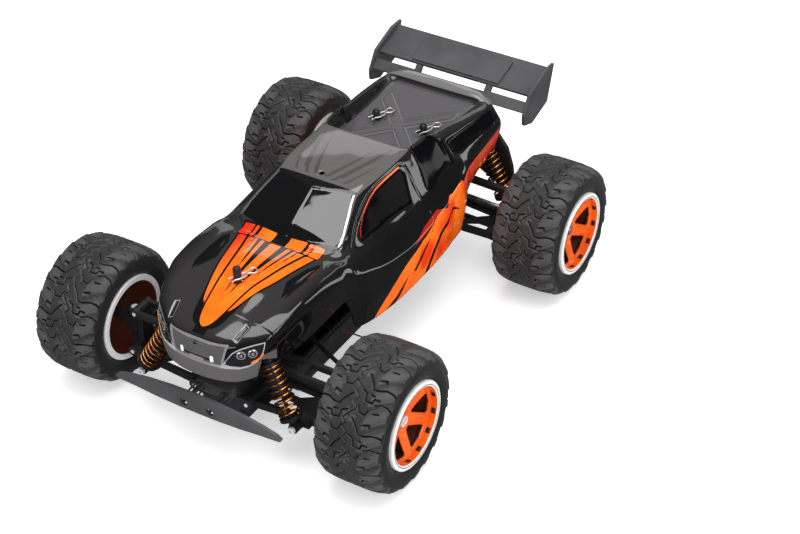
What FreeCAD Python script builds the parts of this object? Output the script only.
import FreeCAD, Part
import math
import os
from FreeCAD import Vector

# Radio-controlled short-course truck: chassis, independent suspension, drive train,
# steering, wheels, body shell and rear wing.
# Axes: nose towards -Y, +X the truck's left side, +Z up, ground at z = 0, y = 0 half way
# between the axles. Y_SHIFT then puts the origin at the centre of the footprint.
# Paired pieces are modelled on the left and mirrored. All lengths are in mm.

os.makedirs("parts", exist_ok=True)

# ---------------------------------------------------------------- driving dimensions
Y_SHIFT = -16.3
AXLE_Y = 128.0                  # half the wheelbase
FRONT_Y = -AXLE_Y
REAR_Y = AXLE_Y

WHEEL_R = 52.0                  # tyre radius, and so the height of the wheel centres
TYRE_W = 54.0
FRONT_TYRE_X = 118.3            # middle planes of the tyres
REAR_TYRE_X = 114.7
RIM_R = 30.0                    # bead seat radius
LIP_R = 33.0                    # rim lip radius

FLOOR_Z = 14.0                  # underside of the chassis
FLOOR_TOP = FLOOR_Z + 3.0
TUB_TOP = 38.0
TUB_HALF_W = 30.0
WALL = 2.5

PIN_R = 1.5                     # suspension pins
PIN_HOLE_R = PIN_R + 0.05       # running fit
TIGHT_HOLE_R = PIN_R + 0.02
STUB_R = 2.0                    # threaded end of the wheel axles
STUB_HOLE_R = STUB_R + 0.02
STUB_END = 18.6                 # axle end, outwards from the tyre's middle plane

# suspension pivots and half-shaft joints (x, z)
FRONT_LOWER_IN = (22.0, 36.0)
FRONT_LOWER_OUT = (84.0, 34.0)
FRONT_UPPER_IN = (22.0, 66.0)
FRONT_UPPER_OUT = (84.0, 64.0)
REAR_LOWER_IN = (22.0, 36.0)
REAR_LOWER_OUT = (80.0, 34.0)
REAR_UPPER_IN = (22.0, 62.0)
REAR_UPPER_OUT = (80.0, 60.0)
SHAFT_IN = (21.0, 54.0)
SHAFT_OUT = (79.0, 52.0)
KING_X = 90.0                   # kingpin
LINK_Y = 140.0                  # middle plane of the rear upper links

# shock ends (x, y, z)
FRONT_SHOCK_LOW = (64.0, -155.0, 36.0)
FRONT_SHOCK_TOP = (37.0, -147.0, 86.0)
REAR_SHOCK_LOW = (64.0, 155.0, 38.0)
REAR_SHOCK_TOP = (40.0, 155.0, 90.0)
SPRING_R = 7.2                  # coil mean radius
WIRE_R = 0.8
SPRING_TURNS = 9.0

GEAR_MODULE = 1.0
GEAR_TEETH = 40                 # on the differential gear
PINION_TEETH = 12
PRESSURE_ANGLE = 25.0
MOTOR_R = 14.0
DIFF_AXIS = (REAR_Y, SHAFT_IN[1])       # (y, z)
PINION_AXIS = (REAR_Y - GEAR_MODULE * (GEAR_TEETH + PINION_TEETH) / 2.0, SHAFT_IN[1])

SERVO_Y = -88.0                 # the servo's output shaft
TIE_INNER = (3.5, SERVO_Y + 18)         # tie rod ends (x, y)
TIE_OUTER = (KING_X, FRONT_Y + 18)

# chassis screws, left one of each pair
FRONT_TOWER_SCREW = (9, -118)   # (x, y)
CASE_SCREW = (14, 112)          # (x, y)
BUMPER_SCREW = (11, 45)         # (x, z)
REAR_TOWER_SCREW = (8, 52)      # (x, z)
SCREW_HOLE_R = 1.25
HEAD_HOLE_R = 3.2

DOOR_HINGE = (44.2, 18.6)       # battery door hinge axis (y, z)
AERIAL_Y = -41                  # aerial wire at the receiver

FRONT_POST_Y = -123.4
REAR_POST = (20.8, 95.2)        # (x, y)
CLIP_ANGLE = math.radians(25.0)         # body clips, from the fore-and-aft line
CLIP_AXIS = Vector(math.sin(CLIP_ANGLE), math.cos(CLIP_ANGLE), 0)
FRONT_CLIP_Z = 121.6
REAR_CLIP_Z = 126.6
SHELL_T = 1.3                   # body shell wall


# ---------------------------------------------------------------- helpers
def span(sign, a, b):
    """The range a to b, or its reflection when sign is -1, in rising order."""
    return sorted((sign * a, sign * b))


def about(centre, half):
    return centre - half, centre + half


def box(x0, x1, y0, y1, z0, z1):
    return Part.makeBox(x1 - x0, y1 - y0, z1 - z0, Vector(x0, y0, z0))


def rod_x(y, z, radius, x0, x1):
    return Part.makeCylinder(radius, x1 - x0, Vector(x0, y, z), Vector(1, 0, 0))


def rod_y(x, z, radius, y0, y1):
    return Part.makeCylinder(radius, y1 - y0, Vector(x, y0, z), Vector(0, 1, 0))


def rod_z(x, y, radius, z0, z1):
    return Part.makeCylinder(radius, z1 - z0, Vector(x, y, z0), Vector(0, 0, 1))


def rod_along(origin, direction, radius, start, end):
    """Cylinder on a unit direction, between two distances from the origin."""
    return Part.makeCylinder(radius, end - start, origin + direction * start, direction)


def rod_between(start, end, radius):
    return Part.makeCylinder(radius, (end - start).Length, start, end - start)


def fuse(first, *others):
    return first.multiFuse(list(others)).removeSplitter()


def cut_each(shape, *tools):
    for tool in tools:
        shape = shape.cut(tool)
    return shape


def face(points):
    return Part.Face(Part.makePolygon(points + [points[0]]))


def prism_xz(points, y0, y1):
    return face([Vector(x, y0, z) for x, z in points]).extrude(Vector(0, y1 - y0, 0))


def prism_yz(points, x0, x1):
    return face([Vector(x0, y, z) for y, z in points]).extrude(Vector(x1 - x0, 0, 0))


def prism_xy(points, z0, z1):
    return face([Vector(x, y, z0) for x, y in points]).extrude(Vector(0, 0, z1 - z0))


def mirrored_outline(half):
    """Close a half outline with its reflection; points at 0 aren't repeated."""
    return half + [(-x, z) for x, z in reversed(half) if x != 0]


def turned(profile, centre, axis=(1, 0, 0)):
    """Turn (along, radius) pairs about an axis in the XZ plane through centre."""
    along = Vector(*axis).normalize()
    outward = Vector(-along.z, 0, along.x)
    origin = Vector(*centre)
    points = [origin + along * distance + outward * radius for distance, radius in profile]
    return face(points).revolve(origin, along, 360)


def mirror(shape):
    return shape.mirror(Vector(0, 0, 0), Vector(1, 0, 0))


def pair(shape):
    return [shape, mirror(shape)]


def save(name, *shapes):
    solids = [solid for shape in shapes for solid in shape.Solids]
    for solid in solids:
        solid.translate(Vector(0, Y_SHIFT, 0))
    shape = solids[0] if len(solids) == 1 else Part.makeCompound(solids)
    shape.exportStep("parts/" + name + ".step")


def save_pair(stem, *shapes):
    save(stem + "_left", *shapes)
    save(stem + "_right", *[mirror(shape) for shape in shapes])


# ---------------------------------------------------------------- chassis
def pivot_lug(side, pivot, radius, root_x, y0, y1):
    """Rounded lug round a pivot: the barrel and the block joining it to the wall."""
    x, z = pivot
    return [rod_y(side * x, z, radius, y0, y1),
            box(*span(side, root_x, x), y0, y1, z - radius, z + radius)]


def chassis_tub():
    back, front = 98, -100
    tub = box(-TUB_HALF_W, TUB_HALF_W, front, back, FLOOR_Z, TUB_TOP)
    tub = tub.cut(box(-TUB_HALF_W + WALL, TUB_HALF_W - WALL, front + WALL, back - WALL,
                      FLOOR_TOP, TUB_TOP + 1))
    tail = box(-18, 18, 97, 152, FLOOR_Z, FLOOR_TOP)
    bulkhead = prism_yz([(-152, 22), (-144, FLOOR_Z), (-99.9, FLOOR_Z), (-99.9, 52),
                         (-112, 71.9), (-152, 71.9)], -16, 16)
    bulkhead = bulkhead.cut(prism_yz([(-148, 10), (-104, 10), (-104, 50), (-114, 67.5),
                                      (-148, 67.5)], -12.5, 12.5))
    lugs = []
    for side in (1, -1):
        for y0, y1 in ((-153, -149.3), (-110.7, -107)):
            lugs += pivot_lug(side, FRONT_LOWER_IN, 4.6, 12.6, y0, y1)
        for y0, y1 in ((-143, -139.3), (-120.7, -117)):
            lugs += pivot_lug(side, FRONT_UPPER_IN, 4.2, 12.6, y0, y1)
    rails = [box(*about(side * TUB_HALF_W, 1.2), -92, 90, 33, 35.5) for side in (1, -1)]
    chassis = fuse(tub, tail, bulkhead, *lugs, *rails)
    for side in (1, -1):
        for (x, z), y0, y1 in ((FRONT_LOWER_IN, -154, -106), (FRONT_UPPER_IN, -144, -116)):
            chassis = chassis.cut(rod_y(side * x, z, PIN_HOLE_R, y0, y1))

    # battery hatch and its hinge bosses
    chassis = cut_each(chassis, box(-19, 19, -32, 42, 10, 17.5),
                       box(-10.6, 10.6, 41, 49.5, 10, 17.5))
    for x0, x1 in ((-17, -11), (11, 17)):
        boss = fuse(box(x0, x1, 41.9, 46.4, FLOOR_TOP, 19.2),
                    rod_x(*DOOR_HINGE, 2.2, x0, x1))
        chassis = fuse(chassis, boss)
    chassis = cut_each(chassis, rod_x(*DOOR_HINGE, 0.95, -17.5, 17.5),
                       box(-20, -14, 66, 76, 10, 17.5),             # switch slot
                       rod_x(AERIAL_Y, 30, 1.1, 25, 32.5))          # aerial hole

    for side in (1, -1):
        tower_x, tower_y = FRONT_TOWER_SCREW
        bumper_x, bumper_z = BUMPER_SCREW
        case_x, case_y = CASE_SCREW
        chassis = cut_each(
            chassis,
            rod_z(side * tower_x, tower_y, SCREW_HOLE_R, 60, 75),
            rod_y(side * bumper_x, bumper_z, SCREW_HOLE_R, -155, -140),
            rod_z(side * case_x, case_y, SCREW_HOLE_R, 10, 20))
    return chassis


# half outline of the bumper strip (x, z), top centre round to bottom centre
BUMPER_HALF = [
    (0, 57), (20, 56.5), (40, 54.5), (56, 51.5), (66, 48.5), (70, 45.5),
    (69, 43.6), (66, 43), (52, 42), (36, 40.3), (18, 39.2), (0, 39),
]
BUMPER_BACK_Y = -152.05


def front_bumper():
    strip = prism_xz(mirrored_outline(BUMPER_HALF), -180.8, -178.3)
    strip.rotate(Vector(0, -179, 48), Vector(1, 0, 0), 6)
    arms = []
    for side in (1, -1):
        arms.append(prism_xy([(side * 8, -179), (side * 14, -179),
                              (side * 14, BUMPER_BACK_Y), (side * 8, BUMPER_BACK_Y)], 42, 48))
        arms.append(prism_xy([(side * 8, -178), (side * 14, -178), (side * 40, -178.6),
                              (side * 40, -176), (side * 14, -170)], 44, 47))
    web = box(-14, 14, -160, BUMPER_BACK_Y, 41, 50)
    bumper = fuse(strip, web, *arms)
    x, z = BUMPER_SCREW
    for side in (1, -1):
        bumper = cut_each(bumper, rod_y(side * x, z, SCREW_HOLE_R, -165, -150),
                          rod_y(side * x, z, HEAD_HOLE_R, -200, -160))
    return bumper


# ---------------------------------------------------------------- shock towers
# half outlines (x, z), from the foot out and up to the top centre
FRONT_TOWER_HALF = [(12, 72), (24, 76.5), (36, 78), (43, 82), (43, 90), (38, 94), (28, 93),
                    (14, 90), (0, 90)]
REAR_TOWER_HALF = [(12, 44), (30, 58), (52, 45), (64, 49), (62, 66), (57, 82), (45, 97),
                   (30, 99), (14, 92), (0, 92)]
FRONT_TOWER_WINDOW = [(8, 78), (24, 80), (26, 88), (10, 86)]
REAR_TOWER_WINDOW = [(26, 68), (48, 60), (46, 80), (34, 88)]


def window_pair(points, y0, y1):
    return fuse(*[prism_xz([(side * x, z) for x, z in points], y0, y1) for side in (1, -1)])


def tower_pin(x, z, y0, y1, head_y1):
    return fuse(rod_y(x, z, PIN_R, y0, y1), rod_y(x, z, 2.8, y0, head_y1))


def shock_towers():
    pins = []
    front = fuse(prism_xz(mirrored_outline(FRONT_TOWER_HALF), -138.2, -134.4),
                 box(-12, 12, -138.2, -110, 72, 75))
    front = cut_each(front, window_pair(FRONT_TOWER_WINDOW, -140, -130),
                     rod_z(0, FRONT_POST_Y, 3.2, 70, 80))
    x, _, z = FRONT_SHOCK_TOP
    screw_x, screw_y = FRONT_TOWER_SCREW
    for side in (1, -1):
        front = cut_each(front, rod_z(side * screw_x, screw_y, SCREW_HOLE_R, 60, 80),
                         rod_y(side * x, z, TIGHT_HOLE_R, -139, -130))
        pins.append(tower_pin(side * x, z, -152.6, -133.5, -151.2))

    rear = fuse(prism_xz(mirrored_outline(REAR_TOWER_HALF), 163.6, 167.2),
                box(-12, 12, 152.05, 165, 44, 60))
    rear = rear.cut(window_pair(REAR_TOWER_WINDOW, 160, 170))
    x, _, z = REAR_SHOCK_TOP
    screw_x, screw_z = REAR_TOWER_SCREW
    for side in (1, -1):
        rear = cut_each(rear, rod_y(side * x, z, TIGHT_HOLE_R, 160, 170),
                        rod_y(side * screw_x, screw_z, SCREW_HOLE_R, 150, 170),
                        rod_y(side * screw_x, screw_z, HEAD_HOLE_R, 160, 170))
        pins.append(tower_pin(side * x, z, 149.4, 168.4, 151.2))
    return [front, rear] + pins


# ---------------------------------------------------------------- gearbox, motor, gears
HUB_HOLE_R = 6.56               # case bore round the differential hub
CASE_WALL_X = 15.2              # where the lugs start


def rear_gearbox_case():
    case = fuse(box(-18, 18, 118, 152, 17.05, 78), box(-18, -2, 104, 118.5, 30, 78),
                box(-18, -2, 86, 118, 38.6, 70))
    cavity = fuse(box(-15, -4.2, 105.9, 149.8, 31, 76.2), box(-15, -4.2, 89, 116, 42, 66),
                  box(-15, 15, 121, 149.8, 31, 76.2))
    case = cut_each(case, cavity, rod_x(*DIFF_AXIS, HUB_HOLE_R, -20, 20),
                    rod_x(*PINION_AXIS, 5.3, -5, 0), box(-14, 14, 121, 148, 10, 28))
    lugs = []
    lower_x, lower_z = REAR_LOWER_IN
    upper_x, upper_z = REAR_UPPER_IN
    for side in (1, -1):
        for root_x, y0, y1 in ((CASE_WALL_X, 105, 108.7), (14, 147.3, 151)):
            lugs += pivot_lug(side, REAR_LOWER_IN, 4.6, root_x, y0, y1)
        # strip along the side, back from the front lug
        lugs.append(box(*span(side, CASE_WALL_X, 20), 105, 119, lower_z - 4.6, lower_z - 1.8))
        for y0, y1 in ((LINK_Y - 7, LINK_Y - 4.3), (LINK_Y + 4.3, LINK_Y + 7)):
            lugs += pivot_lug(side, REAR_UPPER_IN, 4.2, CASE_WALL_X, y0, y1)
    case = fuse(case, *lugs)
    screw_x, screw_z = REAR_TOWER_SCREW
    for side in (1, -1):
        case = cut_each(case, rod_y(side * lower_x, lower_z, PIN_HOLE_R, 104, 152),
                        rod_y(side * upper_x, upper_z, PIN_HOLE_R, *about(LINK_Y, 8)),
                        rod_y(side * screw_x, screw_z, SCREW_HOLE_R, 149, 153))
    # clear the lugs from the hub and motor bores and from the arm barrels
    case = cut_each(case, rod_x(*DIFF_AXIS, HUB_HOLE_R, -28, 28),
                    rod_x(*PINION_AXIS, MOTOR_R + 0.2, -1.9, 36))
    for side in (1, -1):
        case = case.cut(rod_y(side * lower_x, lower_z, 4.7, 108.75, 147.25))
    return case


def drive_motor():
    face_centre = (-1.85, *PINION_AXIS)
    bore = 1.15
    # (along, radius) from the mounting face
    can = turned([(0, bore), (0, MOTOR_R - 1.5), (1.5, MOTOR_R), (33, MOTOR_R),
                  (34, MOTOR_R - 1.2), (37, MOTOR_R - 1.2), (37, 4), (39, 4), (39, bore)],
                 face_centre)
    boss = turned([(-2.2, bore), (-2.2, 5.2), (0.2, 5.2), (0.2, bore)], face_centre)
    y, z = PINION_AXIS
    tags = [box(35.2, 38.6, *about(y, 1.5), *about(z + sign * 8, 0.4)) for sign in (1, -1)]
    return fuse(can, boss, *tags)


def involute_gear(teeth, centre, x0, x1, phase, bore):
    """Spur gear on an X axis; phase is one tooth's angle from +Y towards +Z."""
    thinning = 0.09             # taken off each flank at the pitch circle
    pressure = math.radians(PRESSURE_ANGLE)
    pitch_r = GEAR_MODULE * teeth / 2.0
    base_r = pitch_r * math.cos(pressure)
    tip_r = pitch_r + GEAR_MODULE * 0.95
    root_r = pitch_r - GEAR_MODULE * 1.2

    def involute(angle):
        return math.tan(angle) - angle

    def half_angle(radius):
        angle = math.pi / (2 * teeth) - thinning / pitch_r + involute(pressure)
        if radius > base_r:
            angle -= involute(math.acos(base_r / radius))
        return angle

    flank_r = max(base_r, root_r)
    radii = [root_r] + [flank_r + (tip_r - flank_r) * k / 4.0 for k in range(5)]
    polar = []
    for i in range(teeth):
        middle = phase + 2 * math.pi * i / teeth
        polar += [(radius, middle - half_angle(radius)) for radius in radii]
        polar += [(radius, middle + half_angle(radius)) for radius in reversed(radii)]
    points = []
    for radius, angle in polar:
        point = Vector(x0, centre[0] + radius * math.cos(angle),
                       centre[1] + radius * math.sin(angle))
        # the root point repeats when the base circle lies inside the root circle
        if not points or (point - points[-1]).Length > 1e-4:
            points.append(point)
    gear = face(points).extrude(Vector(x1 - x0, 0, 0))
    return gear.cut(rod_x(*centre, bore, x0 - 1, x1 + 1))


def diff_gear():
    hub_r, socket_r, socket_x = 6.5, 4.25, 16.5
    gear = involute_gear(GEAR_TEETH, DIFF_AXIS, -12.5, -6.0, math.pi / GEAR_TEETH, 5.0)
    diff = fuse(gear, rod_x(*DIFF_AXIS, hub_r, -13.5, 12),
                rod_x(*DIFF_AXIS, hub_r, -26, -13.4), rod_x(*DIFF_AXIS, hub_r, 11.9, 26))
    # round-bottomed sockets for the half-shaft balls
    return cut_each(diff, rod_x(*DIFF_AXIS, socket_r, socket_x, 27),
                    rod_x(*DIFF_AXIS, socket_r, -27, -socket_x),
                    Part.makeSphere(socket_r, Vector(socket_x, *DIFF_AXIS)),
                    Part.makeSphere(socket_r, Vector(-socket_x, *DIFF_AXIS)))


def motor_pinion():
    pinion = involute_gear(PINION_TEETH, PINION_AXIS, -12.0, -6.5, 0.0, 1.0)
    return fuse(pinion, rod_x(*PINION_AXIS, 1.1, -13.2, 36.0))


# ---------------------------------------------------------------- electrics
def steering_servo():
    servo = fuse(box(-10, 10, -97.3, -64, 17.1, 37), rod_z(0, SERVO_Y, 5.5, 36, 39.5))
    servo = fuse(servo, rod_z(0, SERVO_Y, 2.4, 39, 47.5))
    return fuse(servo, box(-14, 14, -82, -78, 28, 31))


def battery_pack():
    front, back = -30, 38
    cells = []
    for side in (-1, 1):
        cells.append(fuse(rod_y(side * 9.2, 27.5, 9.0, front, back),
                          rod_y(side * 9.2, 27.5, 3.0, back, 39.2)))
    end_plates = [box(-8, 8, -31.6, -30.05, 20, 35), box(-8, 8, 39.25, 40.6, 20, 35)]
    return cells + end_plates


AERIAL_PATH = [                 # wire centre line (x, y, z), receiver to free end
    (10.5, -41, 28), (20, -41, 28), (26, -41, 30), (38, -41, 30), (60, -41, 30.4),
    (100, -41.5, 32.5), (112, -42, 34),
]


def receiver_antenna():
    receiver = box(-15, 15, -60, -36, 17.1, 31).cut(rod_x(AERIAL_Y, 28, 0.66, 10, 16))
    points = [Vector(*point) for point in AERIAL_PATH]
    curve = Part.BSplineCurve()
    curve.interpolate(points)
    section = Part.Wire(Part.makeCircle(0.6, points[0], Vector(1, 0, 0)))
    return [receiver, Part.Wire(curve.toShape()).makePipe(Part.Face(section))]


def battery_door():
    y, z = DOOR_HINGE
    tongue_x, tongue_back = 10.2, 46.2
    door = fuse(box(-18.6, 18.6, -31.5, 39.0, FLOOR_Z, 16),
                box(-tongue_x, tongue_x, 38.9, tongue_back, FLOOR_Z + 0.6, 17.4),
                rod_x(y, z, 2.2, -tongue_x, tongue_x),
                box(-tongue_x, tongue_x, 42.0, tongue_back, 17, 18.8))
    grooves = [box(-12, 12, -20 + i * 5, -18 + i * 5, FLOOR_Z - 1, FLOOR_Z + 0.6)
               for i in range(5)]
    door = cut_each(door, rod_x(y, z, 0.92, -11, 11), fuse(*grooves),
                    rod_z(0, -27, 1.3, 10, 20))
    hinge_pin = rod_x(y, z, 0.9, -16.6, 16.6)
    return door, hinge_pin


def power_switch():
    return fuse(box(-18.6, -15.4, 67.2, 70.2, 14.4, 18), box(-22, -12, 64, 74, 17.05, 18.4))


# ---------------------------------------------------------------- body posts and clips
POST_R = 3.0


def clip_hole(x, y, z):
    return rod_along(Vector(x, y, z), CLIP_AXIS, 0.78, -6, 6)


def body_posts():
    top = 126.6
    front = fuse(rod_z(0, FRONT_POST_Y, POST_R, 72, top),
                 rod_z(0, FRONT_POST_Y, 5.0, 75.05, 77),
                 rod_z(0, FRONT_POST_Y, 4.6, 112.2, 113.8),
                 Part.makeSphere(POST_R, Vector(0, FRONT_POST_Y, top)))
    front = front.cut(clip_hole(0, FRONT_POST_Y, FRONT_CLIP_Z))

    x, y = REAR_POST
    top = 128.6
    crossbar = box(-25, 25, 91, 99.4, 72, 76)
    stays = [box(*span(side, 6, 14), 99, 126, 78.05, 81) for side in (1, -1)]
    risers = [box(*span(side, 6, 14), 95, 99.4, 72, 81) for side in (1, -1)]
    posts = []
    for side in (1, -1):
        posts += [rod_z(side * x, y, POST_R, 75, top),
                  Part.makeSphere(POST_R, Vector(side * x, y, top)),
                  rod_z(side * x, y, 4.6, 119.0, 120.6)]
    rear = fuse(crossbar, *stays, *risers, *posts)
    for side in (1, -1):
        rear = rear.cut(clip_hole(side * x, y, REAR_CLIP_Z))
    return front, rear


# clip centre line (along, across): straight leg through the post, rear eye, bent leg
CLIP_PATH = [(-7.5, 0), (8.5, 0), (11.2, -1.5), (13.6, -1.2), (14.8, 1.2), (13.8, 3.6),
             (11.2, 4.2), (8.4, 2.6), (6.4, 2.6), (4.4, 4.2), (0, 4.6), (-3.6, 3.95), (-7.2, 4.6)]


def body_clip(x, y, z):
    wire_r = 0.7
    cos, sin = CLIP_AXIS.y, CLIP_AXIS.x
    path = [Vector(x + along * sin + across * cos, y + along * cos - across * sin, z)
            for along, across in CLIP_PATH]
    pieces = []
    for i, (start, end) in enumerate(zip(path, path[1:])):
        pieces.append(rod_between(start, end, wire_r))
        if i > 0:
            pieces.append(Part.makeSphere(wire_r, start))
    return fuse(*pieces)


def body_clips():
    x, y = REAR_POST
    return [body_clip(0, FRONT_POST_Y, FRONT_CLIP_Z), body_clip(x, y, REAR_CLIP_Z),
            body_clip(-x, y, REAR_CLIP_Z)]


# ---------------------------------------------------------------- body shell
# stations from nose to tail: y, then half section (x, z) from the top centre to the lip
SECTIONS = [
 (-175.5, [(0,100),(6,100),(10,99.5),(13,97),(15,92),(15.5,86),(15,79),(14,72)]),
 (-172.5, [(0,103.5),(10,103.5),(18,102.5),(23,99),(25.5,93),(26,86),(25.5,79),(24,72)]),
 (-168, [(0,106),(12,106),(22,105),(29,102),(33,96),(34,88),(33.5,80),(32,73)]),
 (-160, [(0,109),(13,109),(24.5,108),(34,106.5),(41,101),(43,93),(42.5,85),(40.5,76)]),
 (-150, [(0,112),(14,112),(26,111),(37,110.5),(46.5,107),(49,98),(49,90),(47.5,82)]),
 (-140, [(0,114.5),(15,114.5),(27,113),(39,113.5),(49.5,112),(52.5,103),(52.5,94),(51,84)]),
 (-123, [(0,117.5),(15,117.5),(29,115.5),(42,117),(52,118.5),(56,110),(56,98),(54.5,86)]),
 (-100, [(0,118),(15,118),(31.5,116.5),(43,117.5),(53,119.5),(58,111),(58,100),(57,89)]),
 (-80, [(0,117.5),(16,117.5),(34.5,116),(44,116.5),(53,118),(59.5,110),(60,101),(59,92)]),
 (-74, [(0,117.2),(16,117.2),(36,115.7),(45,116),(53.5,117.5),(60,108),(61,98),(60.5,80)]),
 (-69, [(0,117.2),(18,117),(37.5,115.8),(46,115.5),(53.5,116.5),(61,106),(62.5,85),(61.5,63)]),
 (-57, [(0,124.6),(22,123.5),(41.7,120.5),(45,117),(50,115),(63,104),(67,82),(65,62)]),
 (-40, [(0,134.2),(20,133),(37.5,130.5),(42,125),(50,112),(66,100),(69,82),(67.5,61)]),
 (-21, [(0,142.2),(18,141.6),(32.6,139.1),(40,130),(53,109),(69,98),(71,82),(69.5,61)]),
 (0, [(0,143.5),(20,143.2),(34.5,142),(43,130),(56,108.5),(71,97),(72,82),(70,61)]),
 (22, [(0,144),(20,143.6),(35,142),(44,130),(57,109.5),(71,99),(72,82),(70,61)]),
 (43, [(0,143.3),(20,143),(35.3,141.5),(44,131),(57,110.5),(70,101),(71,82),(69,61)]),
 (50, [(0,131),(33,131.5),(35.8,141.2),(43.2,132),(57,112),(70,102),(71,82),(68.5,61)]),
 (57, [(0,124.5),(34.2,124.5),(36.6,141),(43.2,133),(57,113),(69,103.5),(70,82),(67.5,61)]),
 (75, [(0,124),(35,124),(38,140.8),(43.5,136),(57,115),(67,105),(69,83),(66,61.5)]),
 (78, [(0,124),(35,124),(38,137.3),(43.5,134),(57,115.3),(66,105),(68,83),(65,62)]),
 (88, [(0,124),(35,124),(38.5,136),(44.5,132),(57,116),(64,106),(64,88),(60.5,66)]),
 (95, [(0,124),(35.5,124),(39,135),(45,131),(57,116.2),(62,107),(61.5,95),(59.5,82)]),
 (110, [(0,124),(36,124),(40,132.8),(46,129.5),(56.5,117),(60.5,108),(59.5,98),(57,86)]),
 (130, [(0,124.2),(36.3,124.2),(41.5,129.8),(47,127),(55.5,118),(59,110),(58,100),(55.5,89)]),
 (148, [(0,124.5),(36.6,124.5),(43,127),(47.5,124.8),(53.5,118),(57.5,112),(57,104),(55,94)]),
 (155, [(0,129),(31,129.4),(43.5,126),(47,123.5),(51.5,117),(55.5,111),(55.5,105),(54,98)]),
 (160, [(0,129.5),(30.5,129.5),(42,125),(45.5,121),(49.5,115),(53,109.5),(53.5,105),(52.5,100)]),
]


def inset(half, thickness):
    """Offset a half section inwards, keeping its ends on the centre plane and lip line."""
    (before_x, before_z), (lip_x, lip_z) = half[-2:]
    points = [(-half[1][0], half[1][1])] + half
    points.append((2 * lip_x - before_x, 2 * lip_z - before_z))
    moved = []
    for before, here, after in zip(points, points[1:], points[2:]):
        normals = []
        for start, end in ((before, here), (here, after)):
            dx, dz = end[0] - start[0], end[1] - start[1]
            length = math.hypot(dx, dz)
            normals.append((dz / length, -dx / length))
        (first_x, first_z), (second_x, second_z) = normals
        nx, nz = first_x + second_x, first_z + second_z
        length = math.hypot(nx, nz)
        nx, nz = nx / length, nz / length
        # mitre length, limited at sharp corners
        shift = thickness / max(0.55, nx * first_x + nz * first_z)
        # the section's normals built this way point down and inwards once added
        moved.append((max(0.0, here[0] + nx * shift), here[1] + nz * shift))
    moved[0] = (0.0, moved[0][1])
    moved[-1] = (moved[-1][0], lip_z)
    return moved


def shell_solid():
    """Faceted solid between the outer sections and their insets."""
    count = len(SECTIONS[0][1])
    inner_ys = [y for y, _ in SECTIONS]
    inner_ys[0] += SHELL_T
    inner_ys[1] += SHELL_T * 0.6
    inner_ys[-1] -= SHELL_T

    def ring(y, half):
        # left half from the centre down, then the right half without the centre
        return [Vector(x, y, z) for x, z in half] + [Vector(-x, y, z) for x, z in half[1:]]

    outer = [ring(y, half) for y, half in SECTIONS]
    inner = [ring(y, inset(half, SHELL_T)) for y, (_, half) in zip(inner_ys, SECTIONS)]
    # from the right lip over the top to the left lip
    order = list(range(2 * count - 2, count - 1, -1)) + list(range(count))
    left_lip, right_lip = count - 1, 2 * count - 2
    faces = []

    def triangle(a, b, c):
        if (b - a).cross(c - a).Length > 1e-7:
            faces.append(face([a, b, c]))

    def quad(a, b, c, d):
        normal = (b - a).cross(c - a)
        if normal.Length > 1e-9 and abs((d - a).dot(normal) / normal.Length) < 1e-7:
            faces.append(face([a, b, c, d]))
        else:
            triangle(a, b, c)
            triangle(a, c, d)

    for skin in (outer, inner):
        for here, after in zip(skin, skin[1:]):
            for j, k in zip(order, order[1:]):
                quad(here[j], here[k], after[k], after[j])
    for k in (right_lip, left_lip):
        for i in range(len(SECTIONS) - 1):
            quad(outer[i][k], outer[i + 1][k], inner[i + 1][k], inner[i][k])
    # end walls across the nose and the tail
    for skin in (outer, inner):
        for wall in (skin[0], skin[-1]):
            triangle(wall[0], wall[1], wall[count])
            for j in range(1, count - 1):
                quad(wall[j], wall[j + 1], wall[j + count], wall[j + count - 1])
    # bottom edges of the end walls
    for end in (0, -1):
        quad(outer[end][left_lip], outer[end][right_lip],
             inner[end][right_lip], inner[end][left_lip])
    shell = Part.makeShell(faces)
    shell.sewShape()
    # sewing may wrap the shell in another shape type, or leave it inside out
    solid = Part.Solid(shell if shell.ShapeType == "Shell" else shell.Shells[0])
    if solid.Volume < 0:
        solid.reverse()
    return solid


def body_shell():
    shell = shell_solid().cut(rod_z(0, FRONT_POST_Y, 3.5, 112, 122))
    x, y = REAR_POST
    for side in (1, -1):
        shell = shell.cut(rod_z(side * x, y, 3.5, 120, 128))
    # relief in the lip over each front shock
    for side in (1, -1):
        shell = shell.cut(rod_y(side * (FRONT_SHOCK_TOP[0] + 4.6), 79.6, 10.6, -160.5, -140))
    return shell.cut(rod_z(0, -14, 2.0, 138, 146))


# ---------------------------------------------------------------- rear wing
def sloped_plate(start, end, thickness, x0, x1):
    """Plate whose lower face runs between two (y, z) points."""
    (y0, z0), (y1, z1) = start, end
    along = Vector(0, y1 - y0, z1 - z0).normalize()
    normal = Vector(0, -along.z, along.y) * thickness
    return prism_yz([start, end, (y1 + normal.y, z1 + normal.z),
                     (y0 + normal.y, z0 + normal.z)], x0, x1)


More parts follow.
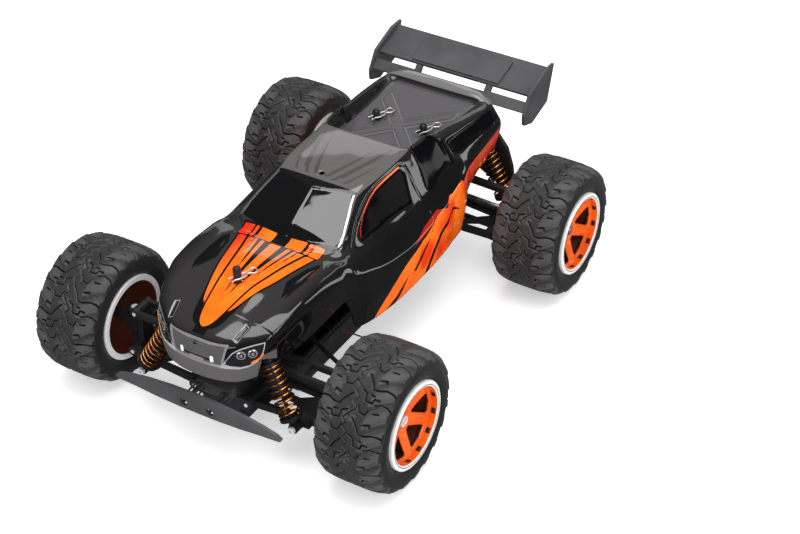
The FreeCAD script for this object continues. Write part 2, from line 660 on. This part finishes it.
def rear_wing():
    half_w = 69
    main = sloped_plate((179.5, 124), (206, 130.5), 2.2, -half_w, half_w)
    lip = sloped_plate((204.5, 130.2), (210.5, 134.5), 2.2, -half_w, half_w)
    raised = sloped_plate((181, 124.2), (206, 130.8), 4.0, -39, 39)
    end_plate = prism_yz([(214, 138.1), (199.5, 138.0), (174.6, 129.5), (165.4, 115),
                          (165.9, 106.4), (179, 101.8), (204.5, 108.5)], 68.2, 70.8)
    slat = sloped_plate((168.5, 115.2), (175.5, 121), 2.0, 33, half_w)
    strut = prism_yz([(167.25, 66), (171, 66), (173.5, 112), (184, 125.5), (180, 125.5),
                      (169.5, 114.5), (167.25, 80)], 29, 34)
    foot = prism_yz([(167.25, 62), (170.4, 62), (170.4, 78), (167.25, 78)], 22, 36)
    cross = sloped_plate((169.2, 114), (175.5, 119.8), 2.0, -34, 34)
    return fuse(main, lip, raised, cross, *pair(end_plate), *pair(slat),
                *pair(fuse(strut, foot)))


# ---------------------------------------------------------------- chassis screws
def screw(seat, outward, length):
    """Cap screw with its head standing outward from the seat."""
    body = fuse(rod_along(seat, outward, 2.6, 0, 1.8),
                rod_along(seat, outward, 1.22, -length, 0.5))
    return body.cut(rod_along(seat, outward, 1.1, 1.0, 2.0))


def chassis_screws():
    screws = []
    tower_x, tower_y = FRONT_TOWER_SCREW
    bumper_x, bumper_z = BUMPER_SCREW
    rear_x, rear_z = REAR_TOWER_SCREW
    case_x, case_y = CASE_SCREW
    up, forward, backward = Vector(0, 0, 1), Vector(0, -1, 0), Vector(0, 1, 0)
    for side in (1, -1):
        screws += [screw(Vector(side * tower_x, tower_y, 75.02), up, 6.5),
                   screw(Vector(side * bumper_x, -160.02, bumper_z), forward, 11),
                   screw(Vector(side * rear_x, 160.02, rear_z), backward, 9.5),
                   screw(Vector(side * case_x, case_y, 17.02), up, 2.9)]
    return screws


# ---------------------------------------------------------------- steering
def steering_arm():
    x, y = TIE_INNER
    arm = fuse(rod_z(0, SERVO_Y, 5.0, 43.5, 48.0),
               prism_xy([(-4, SERVO_Y), (4, SERVO_Y), (6, y + 1), (4.5, y + 3),
                         (-4.5, y + 3), (-6, y + 1)], 44.5, 47.5))
    return cut_each(arm, rod_z(0, SERVO_Y, 2.45, 40, 50),
                    *[rod_z(side * x, y, 1.05, 40, 50) for side in (1, -1)])


# The left rod runs above the steering arm and the right one below, to clear each other:
# name, side, rod height, stud z range, stud collar z range
TIE_RODS = [
    ("left", 1, 52.0, (43.0, 52.0), (42.6, 44.4)),
    ("right", -1, 40.0, (40.0, 49.0), (47.6, 49.4)),
]


def tie_ball(side, height, stud, collar):
    x, y = side * TIE_INNER[0], TIE_INNER[1]
    return fuse(Part.makeSphere(2.3, Vector(x, y, height)),
                fuse(rod_z(x, y, 1.0, *stud), rod_z(x, y, 1.8, *collar)))


def tie_rod(side, height):
    inner = Vector(side * TIE_INNER[0], TIE_INNER[1], height)
    outer = Vector(side * TIE_OUTER[0], TIE_OUTER[1], height)
    along = (outer - inner).normalize()
    bar = rod_between(inner + along * 3.2, outer - along * 3.4, 1.6)
    rod = fuse(bar, rod_z(inner.x, inner.y, 3.9, *about(height, 1.9)),
               rod_z(outer.x, outer.y, 4.2, *about(height, 1.9)))
    return cut_each(rod, Part.makeSphere(2.38, inner),
                    rod_z(inner.x, inner.y, 1.5, *about(height, 4)),
                    rod_z(outer.x, outer.y, 3.0, *about(height, 4)))


# ---------------------------------------------------------------- lower arms
def lower_arm(inner, outer, axle_y, inner_span, outer_span, forks, windows):
    """Barrel at the inner pivot, fork at the outer one and a ribbed plate between.

    The spans, forks and window points (x, y) give y measured from the axle.
    """
    plate_t, rib_rise, rib_t = 3.4, 2.6, 2.6
    in_x, in_z = inner
    out_x, out_z = outer
    in_y0, in_y1 = [axle_y + y for y in inner_span]
    out_y0, out_y1 = [axle_y + y for y in outer_span]
    forks = [(axle_y + y0, axle_y + y1) for y0, y1 in forks]
    end_x = out_x - 6.5
    end_z = in_z + (out_z - in_z) / (out_x - in_x) * (end_x - in_x)
    plate = face([Vector(in_x, in_y0, in_z), Vector(in_x, in_y1, in_z),
                  Vector(end_x, out_y1, end_z), Vector(end_x, out_y0, end_z)])
    arm = fuse(rod_y(in_x, in_z, 4.4, in_y0, in_y1), plate.extrude(Vector(0, 0, -plate_t)))
    ribs = []
    for in_y, out_y, inward in ((in_y0, out_y0, 1), (in_y1, out_y1, -1)):
        rib = face([Vector(in_x, in_y, in_z - plate_t), Vector(end_x, out_y, end_z - plate_t),
                    Vector(end_x, out_y, end_z + rib_rise),
                    Vector(in_x, in_y, in_z + rib_rise)])
        ribs.append(rib.extrude(Vector(0, inward * rib_t, 0)))
    for y0, y1 in forks:
        ribs.append(rod_y(out_x, out_z, 3.95, y0, y1))
        ribs.append(box(end_x - 3.0, out_x, y0, y1, *about(out_z, 3.6)))
    ribs.append(box(end_x - 3.0, end_x, out_y0, out_y1, end_z - plate_t, end_z + rib_rise))
    arm = cut_each(fuse(arm, *ribs),
                   rod_y(in_x, in_z, PIN_HOLE_R, in_y0 - 1, in_y1 + 1),
                   rod_y(out_x, out_z, PIN_HOLE_R, forks[0][0] - 1, forks[1][1] + 1))
    return cut_each(arm, *[prism_xy([(x, axle_y + y) for x, y in window], 20, 50)
                           for window in windows])


def add_shock_ear(arm, low, end, root_y, depth):
    """Arm with its shock ear, and the ear's screw; end is -1 at the front, 1 at the rear."""
    x, _, z = low
    ear = fuse(box(x - 5, x + 6, *span(end, root_y, 147), z - depth, z + 2),
               rod_y(x, z, 4.4, *span(end, 143, 150.4)))
    arm = fuse(arm, ear).cut(rod_y(x, z, TIGHT_HOLE_R, *span(end, 143.5, 151)))
    ear_screw = fuse(rod_y(x, z, PIN_R, *span(end, 144.0, 159.5)),
                     rod_y(x, z, 2.9, *span(end, 158.6, 161.0)))
    return arm, ear_screw.cut(rod_y(x, z, 1.2, *span(end, 159.8, 161.5)))


def front_lower_arm():
    arm = lower_arm(FRONT_LOWER_IN, FRONT_LOWER_OUT, FRONT_Y, (-21, 17), (-15, 13.6),
                    ((-15, -10.3), (10.3, 13.6)),
                    ([(32, -14.5), (32, -2), (50, -2), (60, -12)],
                     [(32, 11), (32, 2), (50, 2), (62, 11)]))
    arm, ear_screw = add_shock_ear(arm, FRONT_SHOCK_LOW, -1, 142, 6)
    return [arm, rod_y(*FRONT_LOWER_IN, PIN_R, FRONT_Y - 25.6, FRONT_Y + 21.4),
            rod_y(*FRONT_LOWER_OUT, PIN_R, FRONT_Y - 15.6, FRONT_Y + 14.1), ear_screw]


def rear_lower_arm():
    arm = lower_arm(REAR_LOWER_IN, REAR_LOWER_OUT, REAR_Y, (-19, 19), (-15, 15),
                    ((-15, -10.3), (10.3, 15)),
                    ([(32, -13), (32, -1.5), (48, -1.5), (34, -13)],
                     [(38, -12), (64, -12), (64, -2), (54, -2)],
                     [(32, 14), (32, 1.5), (50, 1.5), (62, 12)]))
    arm, ear_screw = add_shock_ear(arm, REAR_SHOCK_LOW, 1, 141.5, 8)
    return [arm, rod_y(*REAR_LOWER_IN, PIN_R, *about(REAR_Y, 23.4)),
            rod_y(*REAR_LOWER_OUT, PIN_R, *about(REAR_Y, 15.6)), ear_screw]


# ---------------------------------------------------------------- front corners
def front_upper_arm():
    in_x, in_z = FRONT_UPPER_IN
    out_x, out_z = FRONT_UPPER_OUT
    in_y0, in_y1 = FRONT_Y - 11, FRONT_Y + 7
    out_y0, out_y1 = about(FRONT_Y, 9.2)
    barrel_r, bar_w, bar_half_h = 4.0, 3.2, 2.4
    bars = []
    for in_y, out_y in ((in_y0, out_y0), (in_y1 - bar_w, out_y1 - bar_w)):
        bottom_in, bottom_out = in_z - bar_half_h, out_z - bar_half_h
        bar = face([Vector(in_x, in_y, bottom_in), Vector(in_x, in_y + bar_w, bottom_in),
                    Vector(out_x, out_y + bar_w, bottom_out),
                    Vector(out_x, out_y, bottom_out)])
        bars.append(bar.extrude(Vector(0, 0, 2 * bar_half_h)))
    rung_x = in_x + (out_x - in_x) * 0.55
    rung_z = in_z + (out_z - in_z) * 0.55
    rung = box(*about(rung_x, 3), (in_y0 + out_y0) / 2.0 + 1, (in_y1 + out_y1) / 2.0 - 1,
               *about(rung_z, 1.8))
    arm = fuse(rod_y(in_x, in_z, barrel_r, in_y0, in_y1),
               rod_y(out_x, out_z, barrel_r, out_y0, out_y1), *bars, rung)
    arm = cut_each(arm, rod_y(in_x, in_z, PIN_HOLE_R, in_y0 - 1, in_y1 + 1),
                   rod_y(out_x, out_z, PIN_HOLE_R, out_y0 - 1, out_y1 + 1),
                   box(out_x - 5.4, out_x + 6, *about(FRONT_Y, 5.4), *about(out_z, 6)))
    return [arm.removeSplitter(),
            rod_y(in_x, in_z, PIN_R, FRONT_Y - 15.4, FRONT_Y + 11.4),
            rod_y(out_x, out_z, PIN_R, *about(FRONT_Y, 9.6))]


def front_c_hub():
    """Spine, two barrels and two flanges, with the upper and lower kingpins."""
    y = FRONT_Y
    hub = fuse(box(79.6, 84.2, *about(y, 5.9), 37.5, 59.4),
               box(80.6, 84.4, *about(y, 5), 59, 61.5),
               rod_y(*FRONT_LOWER_OUT, 4.2, *about(y, 10)),
               box(80.5, 87.5, *about(y, 9), 33.0, 39.0),
               rod_y(*FRONT_UPPER_OUT, 3.8, *about(y, 5)),
               box(80.6, 87, *about(y, 5), 60, 64),
               box(80, KING_X, *about(y, 5), 38.6, 42.4), rod_z(KING_X, y, 5.0, 38.6, 42.4),
               box(80, KING_X, *about(y, 5), 57.6, 61.4), rod_z(KING_X, y, 5.0, 57.6, 61.4))
    hub = cut_each(hub, rod_y(*FRONT_LOWER_OUT, PIN_HOLE_R, *about(y, 12)),
                   rod_y(*FRONT_UPPER_OUT, PIN_HOLE_R, *about(y, 8)),
                   rod_z(KING_X, y, TIGHT_HOLE_R, 37, 63))
    upper = fuse(rod_z(KING_X, y, PIN_R, 53.0, 61.4), rod_z(KING_X, y, 2.8, 61.42, 63.2))
    lower = fuse(rod_z(KING_X, y, PIN_R, 38.6, 47.0), rod_z(KING_X, y, 2.6, 37.4, 38.58))
    return hub, upper, lower


def wheel_nut(tyre_x, y):
    radius, x0, x1 = 4.4, tyre_x + 14.3, tyre_x + 17.6
    corners = [math.radians(60 * i) for i in range(6)]
    points = [(y + radius * math.cos(a), WHEEL_R + radius * math.sin(a)) for a in corners]
    return prism_yz(points, x0, x1).cut(rod_x(y, WHEEL_R, STUB_HOLE_R, x0 - 1, x1 + 1))


def front_knuckle(stud):
    """Left-hand knuckle with its steering arm and stud, stub axle and wheel nut."""
    x, y = KING_X, FRONT_Y
    knuckle = fuse(rod_z(x, y, 5.0, 42.6, 57.4), box(x, x + 6, *about(y, 6), 45, 57),
                   rod_x(y, WHEEL_R, 5.2, x + 2, x + 8),
                   rod_x(y, WHEEL_R, 4.0, x + 6, FRONT_TYRE_X - 6.3))
    knuckle = fuse(knuckle, prism_xy([(x - 3, y + 3), (x + 5, y + 3), (x + 3.4, y + 18),
                                      (x + 1, y + 21), (x - 3.4, y + 20)], 44.0, 47.0))
    knuckle = cut_each(knuckle, rod_z(x, y, PIN_HOLE_R, 42, 47.2),
                       rod_z(x, y, PIN_HOLE_R, 52.8, 58),
                       rod_x(y, WHEEL_R, STUB_HOLE_R, x + 5, 140))
    stub = rod_x(y, WHEEL_R, STUB_R, x + 5.02, FRONT_TYRE_X + STUB_END)
    return [fuse(knuckle, stud), stub, wheel_nut(FRONT_TYRE_X, y)]


def save_front_knuckles():
    stud_up = fuse(rod_z(*TIE_OUTER, 2.0, 46.9, 54.6), rod_z(*TIE_OUTER, 2.6, 54.6, 55.6))
    stud_down = fuse(rod_z(*TIE_OUTER, 2.0, 37.4, 44.1), rod_z(*TIE_OUTER, 2.3, 36.4, 37.4))
    save("front_knuckle_left", *front_knuckle(stud_up))
    save("front_knuckle_right", *[mirror(shape) for shape in front_knuckle(stud_down)])


# ---------------------------------------------------------------- shocks
def save_shocks(stem, low, top):
    """Body, rod with lower spring cup, and spring; distances run down from the top eye."""
    seat_r, eye_r, rod_r = 8.2, 3.9, 1.5
    origin = Vector(*top)
    axis = Vector(*low) - origin
    length = axis.Length
    axis.normalize()

    def section(start, end, radius):
        return rod_along(origin, axis, radius, start, end)

    def eye(centre, radius, half_w):
        x, y, z = centre
        return rod_y(x, z, radius, *about(y, half_w))

    body = fuse(section(4.5, 33, 5.4), section(7.2, 9.4, seat_r), section(0, 7, 3.4),
                eye(top, eye_r, 2.6))
    body = cut_each(body, section(10.5, 34, 4.35), eye(top, PIN_HOLE_R, 6))
    save_pair(stem + "_shock_body", body)

    cup = fuse(section(length - 8.6, length - 6.2, seat_r),
               section(length - 9.4, length - 2.0, 3.2), eye(low, eye_r, 2.6))
    cup = cut_each(cup, section(length - 14, length - 5.0, rod_r + 0.02),
                   eye(low, PIN_HOLE_R, 6))
    rod = fuse(section(25.0, length - 5.05, rod_r), section(25.0, 27.5, 2.2))
    save_pair(stem + "_shock_rod", cup, rod)

    start = 9.45 + WIRE_R
    height = length - 8.65 - WIRE_R - start
    helix = Part.makeHelix(height / SPRING_TURNS, height, SPRING_R)
    wire = Part.Wire(Part.makeCircle(WIRE_R, Vector(SPRING_R, 0, 0), Vector(0, 1, 0)))
    spring = Part.Wire(helix).makePipeShell([wire], True, True)
    # the sweep may come back as a closed shell
    if spring.ShapeType != "Solid":
        spring = Part.Solid(spring)
    spring.Placement = FreeCAD.Placement(origin + axis * start,
                                         FreeCAD.Rotation(Vector(0, 0, 1), axis))
    save_pair(stem + "_spring", spring)


# ---------------------------------------------------------------- rear corners
def rear_upper_link():
    in_x, in_z = REAR_UPPER_IN
    out_x, out_z = REAR_UPPER_OUT
    height, depth = 4.4, 5.0
    start = Vector(in_x, LINK_Y - depth / 2.0, in_z)
    end = Vector(out_x, LINK_Y - depth / 2.0, out_z)
    across = Vector(in_z - out_z, 0, out_x - in_x).normalize() * (height / 2.0)
    bar = face([start + across, end + across, end - across, start - across])
    link = fuse(rod_y(in_x, in_z, 4.0, *about(LINK_Y, 4)),
                rod_y(out_x, out_z, 4.0, *about(LINK_Y, 3)), bar.extrude(Vector(0, depth, 0)))
    link = cut_each(link, rod_y(in_x, in_z, PIN_HOLE_R, *about(LINK_Y, 8)),
                    rod_y(out_x, out_z, PIN_HOLE_R, *about(LINK_Y, 8)))
    return link, rod_y(in_x, in_z, PIN_R, *about(LINK_Y, 7.4))


def rear_upright():
    y = REAR_Y
    upright = fuse(box(84.6, 90.6, y - 9, y + 8.7, 42, 63),
                   box(75.5, 85, y - 10, y - 7.4, 38, 62),
                   box(75.5, 85, y + 7.4, y + 10, 38, 52),
                   box(75.5, 85, y + 6.2, y + 8.7, 50, 62),
                   rod_y(*REAR_LOWER_OUT, 4.2, *about(y, 10)),
                   box(77, 90.6, *about(y, 9.9), 36, 43.4),
                   box(76, 90, y - 9.9, y + 8.7, 60.2, 63),
                   box(REAR_UPPER_OUT[0] - 3.5, 88, y + 5, y + 8.7, 56.2, 63),
                   rod_x(y, WHEEL_R, 7.5, 88, 93))
    upright = cut_each(upright, rod_y(*REAR_LOWER_OUT, PIN_HOLE_R, *about(y, 12)),
                       rod_x(y, WHEEL_R, 7.2, 70, 84.5), rod_x(y, WHEEL_R, 4.05, 80, 95),
                       rod_y(*REAR_UPPER_OUT, TIGHT_HOLE_R, y + 4, y + 12))
    link_screw = fuse(rod_y(*REAR_UPPER_OUT, PIN_R, y + 5, LINK_Y + 3.6),
                      rod_y(*REAR_UPPER_OUT, 2.9, LINK_Y + 3.1, LINK_Y + 5.0))
    return upright, link_screw


def rear_half_shaft():
    """Shaft with a ball at each end, the ball drawn as 12 degree facets."""
    ball_r, shaft_r = 3.7, 2.0
    dx, dz = SHAFT_OUT[0] - SHAFT_IN[0], SHAFT_OUT[1] - SHAFT_IN[1]
    length = math.hypot(dx, dz)
    angles = [math.radians(degrees) for degrees in range(0, 148, 12)]
    profile = [(-ball_r * math.cos(a), ball_r * math.sin(a)) for a in angles]
    profile.append((math.sqrt(ball_r ** 2 - shaft_r ** 2), shaft_r))
    profile += [(length - along, radius) for along, radius in reversed(profile)]
    return turned(profile, (SHAFT_IN[0], REAR_Y, SHAFT_IN[1]), (dx, 0, dz))


def rear_axle():
    axle = fuse(rod_x(REAR_Y, WHEEL_R, 6.5, 74.5, 84.4),
                rod_x(REAR_Y, WHEEL_R, 4.0, 84.3, 104),
                rod_x(REAR_Y, WHEEL_R, STUB_R, 103.9, REAR_TYRE_X + STUB_END))
    return axle.cut(rod_x(REAR_Y, WHEEL_R, 4.2, 70, 83.1)), wheel_nut(REAR_TYRE_X, REAR_Y)


# ---------------------------------------------------------------- wheels
# profiles (along, radius); along is measured outwards from the tyre's middle plane
TYRE_HALF = [
    (0, WHEEL_R), (17, 51.7), (23, 50.0), (26.2, 46.5), (TYRE_W / 2, 42), (26.8, 38),
    (25.6, 35), (23.9, 33.5), (23.9, RIM_R + 0.05), (20.5, RIM_R + 0.05), (20.5, 33.5),
    (22.8, 38), (22.8, 43), (20.5, 46.4), (15, 48.4), (0, 48.6),
]
RIM_PROFILE = [
    (26.9, 28.2), (26.9, 32.6), (24.0, LIP_R), (24.0, RIM_R), (-24.0, RIM_R), (-24.0, LIP_R),
    (-26.0, 32.6), (-26.0, 28.2), (8.5, 28.2), (8.5, 26.0), (13.0, 9.5), (7.0, 9.5),
    (-6.0, 8.0), (-6.0, 2.06), (14.0, 2.06), (14.0, 7.0), (17.5, 9.5), (18.2, 12),
    (13.2, 27.0), (16.0, 28.2),
]
RIM_WINDOW = [(13.2, 0.0), (25.5, 19.0), (25.5, -19.0)]     # radius, degrees off its middle


def tyre(x, y):
    return turned(mirrored_outline(TYRE_HALF), (x, y, WHEEL_R))


def rim(x, y):
    wheel = turned(RIM_PROFILE, (x, y, WHEEL_R))
    for i in range(6):
        middle = math.radians(60 * i + 30)
        corners = []
        for radius, offset in RIM_WINDOW:
            angle = middle + math.radians(offset)
            corners.append((y + radius * math.cos(angle), WHEEL_R + radius * math.sin(angle)))
        wheel = wheel.cut(prism_yz(corners, x + 2, x + 24))
    return wheel


# ---------------------------------------------------------------- build and export
save("chassis_tub", chassis_tub())
save("front_bumper", front_bumper())
save("shock_towers", *shock_towers())
save("rear_gearbox_case", rear_gearbox_case())
save("drive_motor", drive_motor())
save("diff_gear", diff_gear())
save("motor_pinion", motor_pinion())
save("steering_servo", steering_servo())
save("battery_pack", *battery_pack())
save("receiver_antenna", *receiver_antenna())
save("body_posts", *body_posts())
save("body_clips", *body_clips())
save("body_shell", body_shell())
save("rear_wing", rear_wing())
save("chassis_screws", *chassis_screws())
save("battery_door", *battery_door())
save("power_switch", power_switch())
save("steering_arm", steering_arm())
for name, side, height, stud, collar in TIE_RODS:
    save("tie_ball_" + name, tie_ball(side, height, stud, collar))
    save("tie_rod_" + name, tie_rod(side, height))
save_pair("front_lower_arm", *front_lower_arm())
save_pair("front_upper_arm", *front_upper_arm())
save_pair("front_c_hub", *front_c_hub())
save_front_knuckles()
save_shocks("front", FRONT_SHOCK_LOW, FRONT_SHOCK_TOP)
save_shocks("rear", REAR_SHOCK_LOW, REAR_SHOCK_TOP)
save_pair("rear_lower_arm", *rear_lower_arm())
save_pair("rear_upper_link", *rear_upper_link())
save_pair("rear_upright", *rear_upright())
save_pair("rear_half_shaft", rear_half_shaft())
save_pair("rear_axle", *rear_axle())
for end, x, y in (("front", FRONT_TYRE_X, FRONT_Y), ("rear", REAR_TYRE_X, REAR_Y)):
    save_pair(end + "_tyre", tyre(x, y))
    save_pair(end + "_rim", rim(x, y))
